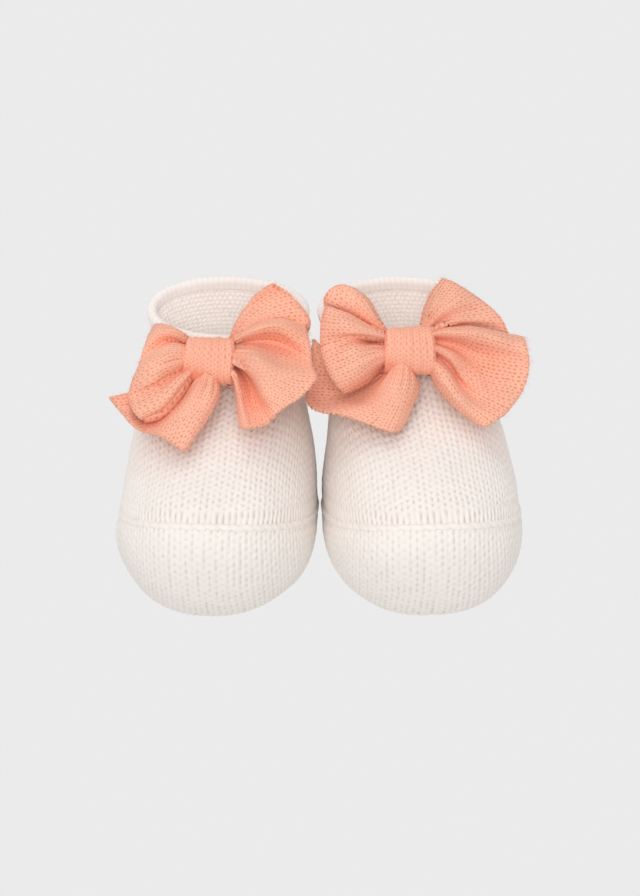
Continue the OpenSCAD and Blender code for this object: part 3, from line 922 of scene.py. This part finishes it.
# side, CAD node that each stands for, body, and whether it folds back under itself
petalPlan = {
    "leftOuterLoop": ("left", "left_bow_outer_loop", "left_outer_flap", True),
    "leftOuterTail": ("left", "left_bow_outer_tail", "left_outer_flap", False),
    "leftInnerBack": ("left", "left_bow_inner_loop", "left_inner_flap", True),
    "leftInnerFront": ("left", "left_bow_inner_tail", "left_inner_flap", False),
    "rightInnerBack": ("right", None, "right_inner_flap", True),
    "rightInnerFront": ("right", "right_bow_inner_loop", "right_inner_flap", True),
    "rightInnerTail": ("right", "right_bow_inner_tail", "right_inner_flap", False),
    "rightOuterBack": ("right", "right_bow_outer_loop", "right_outer_flap", True),
    "rightOuterFront": ("right", "right_bow_outer_tail", "right_outer_flap", False),
}
fringe = {
    "perMetre": 6500,
    "length": (0.0004, 0.0014),
    "radius": 0.000062,
    "taper": 0.7,  # of the radius, lost by the tip
    "rooted": 0.0003,  # how deep a fibre starts in the cloth
    "spread": 0.55,
    "curl": 0.5,
    "joints": 6,
}


def smoothLine(values, where):
    # a smooth curve through evenly spaced points along the first axis
    slope = np.gradient(values, axis=0)
    i = np.clip(np.floor(where).astype(int), 0, len(values) - 2)
    f = (where - i).reshape(-1, *[1] * (values.ndim - 1))
    a, b, ma, mb = values[i], values[i + 1], slope[i], slope[i + 1]
    return ((2 * f**3 - 3 * f**2 + 1) * a + (f**3 - 2 * f**2 + f) * ma
            + (-2 * f**3 + 3 * f**2) * b + (f**3 - f**2) * mb)


def makeFringe(name, edges, seed):
    # short curled fibres along the cloth's edges
    rng = np.random.default_rng(seed)
    starts, heads = [], []
    for line, inner in edges:
        run = np.linalg.norm(np.diff(line, axis=0), axis=-1).sum()
        at = rng.uniform(0, len(line) - 1.001, int(run * fringe["perMetre"]))
        i = at.astype(int)
        f = (at - i)[:, None]
        starts.append(line[i] * (1 - f) + line[i + 1] * f)
        heads.append(line[i] - inner[i])
    start, head = np.concatenate(starts), np.concatenate(heads)
    n = len(start)
    head = head / np.linalg.norm(head, axis=-1, keepdims=True) + rng.normal(0, fringe["spread"], (n, 3))
    head /= np.linalg.norm(head, axis=-1, keepdims=True)
    across = np.cross(head, rng.normal(size=(n, 3)))
    across /= np.linalg.norm(across, axis=-1, keepdims=True)
    other = np.cross(head, across)
    joints = fringe["joints"]
    s = np.linspace(0, 1, joints)
    length = rng.uniform(*fringe["length"], n)[:, None, None]
    bend = rng.normal(0, fringe["curl"], (n, 1, 3)) * (s**2)[None, :, None]
    path = (start - fringe["rooted"] * head)[:, None] + length * (head[:, None] * s[None, :, None] + bend)
    turn = np.linspace(0, 2 * math.pi, 4)[None, :, None, None]
    ring = across[:, None, None] * np.cos(turn) + other[:, None, None] * np.sin(turn)
    radius = fringe["radius"] * (1 - fringe["taper"] * s)[None, None, :, None]
    points = (path[:, None] + ring * radius).reshape(n * 4, joints, 3)
    which = np.repeat(np.arange(n), 4)[:, None]
    piece = gridPiece(name, points, {"fibre": which}, material=coralFray)
    bm = bmesh.new()
    bm.from_mesh(piece.data)
    layer = bm.verts.layers.float["fibre"]
    # a face whose corners have different numbers would join two fibres
    between = [f for f in bm.faces if len({v[layer] for v in f.verts}) > 1]
    bmesh.ops.delete(bm, geom=between, context="FACES_ONLY")
    bmesh.ops.remove_doubles(bm, verts=bm.verts, dist=1e-7)
    bm.to_mesh(piece.data)
    bm.free()
    piece.data.shade_smooth()
    return piece


def makePetal(name):
    side, node, body, folds = petalPlan[name]
    net = np.array(petals[name]) * millimetre
    if folds:
        back = net[:, ::-1].copy()
        back[..., 2] -= np.array(bow["foldDepth"]) * millimetre
        middle = net.mean(axis=(0, 1))
        back[:, 0, :2] += (middle[:2] - back[:, 0, :2]) * 0.04
        net = np.concatenate([net, back], 1)
    net[:, 0] *= bow["rootTuck"]
    seen = net * (1, 1, 0.45)  # waves towards and away count for less of the width
    lengths = np.linalg.norm(np.diff(net, axis=1), axis=-1).mean(0)
    widths = np.linalg.norm(np.diff(seen, axis=0), axis=-1)[:, 2:4].mean(1)
    rows = int(lengths.sum() / bow["sample"])
    columns = int(widths.sum() / bow["sample"])
    lengthAt = np.concatenate([[0], np.cumsum(lengths)])
    widthAt = np.concatenate([[0], np.cumsum(widths)])
    alongWhere = np.interp(np.linspace(0, lengthAt[-1], rows), lengthAt, np.arange(net.shape[1]))
    acrossWhere = np.interp(np.linspace(0, widthAt[-1], columns), widthAt, np.arange(net.shape[0]))
    sheet = smoothLine(net, acrossWhere)
    sheet = smoothLine(sheet.swapaxes(0, 1), alongWhere)
    seed = sum(map(ord, name)) % 97
    p, q, r = (sheet[..., k] for k in range(3))
    share = np.linspace(0, 1, rows)[:, None]
    sheet[..., 2] += bow["sag"] * waves(p, q, r * 0, seed, 0.010) * np.clip(share * 4, 0, 1)
    # gathers: fine pleats that fan out from the knot and die away
    count = columns * bow["sample"] / bow["pleat"]
    acrossShare = np.linspace(0, 1, columns)[None]
    pleat = np.sin(2 * math.pi * count * acrossShare + 2 * np.sin(acrossShare * 9 + seed))
    sheet[..., 2] += bow["pleatDepth"] * pleat * np.exp(-(share / 0.30) ** 2) * np.clip(share / 0.12, 0, 1)
    normal = surfaceNormals(sheet)
    along = np.broadcast_to(np.linspace(0, lengthAt[-1], rows)[:, None], sheet.shape[:2])
    across = np.broadcast_to(np.linspace(0, widthAt[-1], columns)[None], sheet.shape[:2])
    wale = across / bow["wale"] + 0.16 * waves(p, q, r * 0, seed + 1, 0.006)
    row = along / bow["row"] + 0.16 * waves(p, q, r * 0, seed + 2, 0.006)
    height = stitchHeight(wale, row, seed, slant=0.27, halfWidth=0.222, halfLength=0.88)
    facing = 1 if normal[..., 2].mean() > 0 or folds and normal[: rows // 2, :, 2].mean() > 0 else -1
    sheet = sheet + facing * normal * (bow["relief"] * (height - 1))[..., None]
    if facing < 0:
        sheet, height = sheet[:, ::-1], height[:, ::-1]
    surface = planes[side](sheet)
    piece = gridPiece(name, surface, {"relief": height}, material=coralJersey)
    shell = piece.modifiers.new("cloth", "SOLIDIFY")
    shell.thickness = bow["cloth"]
    shell.offset = -1
    if node:
        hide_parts(node)
    root = planes[side](net[:, 0].mean(0))
    reach = planes[side](net[:, 1].mean(0))
    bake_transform(piece, f"{side}_bootie", body, start=tuple(root), end=tuple(root + (reach - root) * 0.9))
    first = rows // 5
    turnRow = rows // 2 if folds else rows - 1
    edges = [(surface[turnRow], surface[turnRow - 4]),
             (surface[first:turnRow, 0], surface[first:turnRow, 3]),
             (surface[first:turnRow, -1], surface[first:turnRow, -4])]
    fuzz = makeFringe(f"{name}Fuzz", edges, seed)
    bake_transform(fuzz, f"{side}_bootie", body, start=tuple(root), end=tuple(root + (reach - root) * 0.9))


knot = {
    "rows": 151,
    "columns": 361,
    "broadness": 0.82,
    "girth": 0.0068,  # metres of cloth for each radian round the knot
    "wale": 0.0019,
    "row": 0.0015,
    "relief": 0.00022,
    "crease": 0.0003,
    "sag": 0.0019,
}


def makeKnot(side):
    # the band: jersey with its wales upright, drawn in and sagging at its lower right
    p = np.linspace(-1, 1, knot["rows"])[:, None]
    b = np.linspace(-math.pi, math.pi, knot["columns"])[None]
    e = knot["broadness"]
    half = bow["knotWidth"] / 2
    edge = np.clip((np.abs(p) - 0.86) / 0.14, 0, 1)
    pinch = 1 - 0.10 * p**2 - 0.34 * (1 - np.sqrt(np.clip(1 - edge**2, 0, 1)))
    q = bow["knotHeight"] * 0.44 * broad(np.cos(b), e) * pinch
    r = bow["knotDepth"] / 2 * broad(np.sin(b), e) * pinch
    low = np.clip(-q / (bow["knotHeight"] / 2), 0, 1)
    q = q + bow["knotRise"] - low * (0.0002 + knot["sag"] * p)
    x = half * p * (1 - 0.05 * np.cos(b)) - 0.0004 * low + 0 * b
    points = np.stack([x + 0 * q, q, r], -1)
    normal = surfaceNormals(points)
    run = b * knot["girth"]
    wale = half * p / knot["wale"] + 0.16 * waves(p * half * 4, run, 0 * p, 8, 0.008)
    row = run / knot["row"] + 0.1 * waves(p * half, run * 3, 0 * p, 9, 0.008)
    height = stitchHeight(wale, row, seed=5, slant=0.30, halfWidth=0.235, halfLength=0.80)
    crease = waves(p * half * 3, run * 0.55, 0 * p, 5, 0.006)
    out = 1 if (normal * points)[..., 1:].sum() > 0 else -1
    lift = knot["relief"] * (height - 0.8) + knot["crease"] * crease * (1 - edge)
    points = points + out * normal * lift[..., None]
    if out < 0:
        points, height = points[::-1], height[::-1]
    piece = gridPiece(f"{side}_knot", planes[side](points), {"relief": height},
                      closed=True, material=coralBand)
    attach(piece, f"{side}_bootie")
    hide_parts(f"{side}_bow_band")


for sideName in sides:
    makeKnot(sideName)
for petalName in petals:
    makePetal(petalName)
print("bows tied")

# the bow's core, its gathering thread and its stitches keep their CAD shapes
hiddenParts = {"bow_core": coralCore, "gather_thread": sewingThread,
               "band_stitches": sewingThread, "tack_stitches": sewingThread}
for nodeName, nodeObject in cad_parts.items():
    paint = hiddenParts.get(nodeName.split("_", 1)[1])
    if paint:
        nodeObject.data.materials.clear()
        nodeObject.data.materials.append(paint)
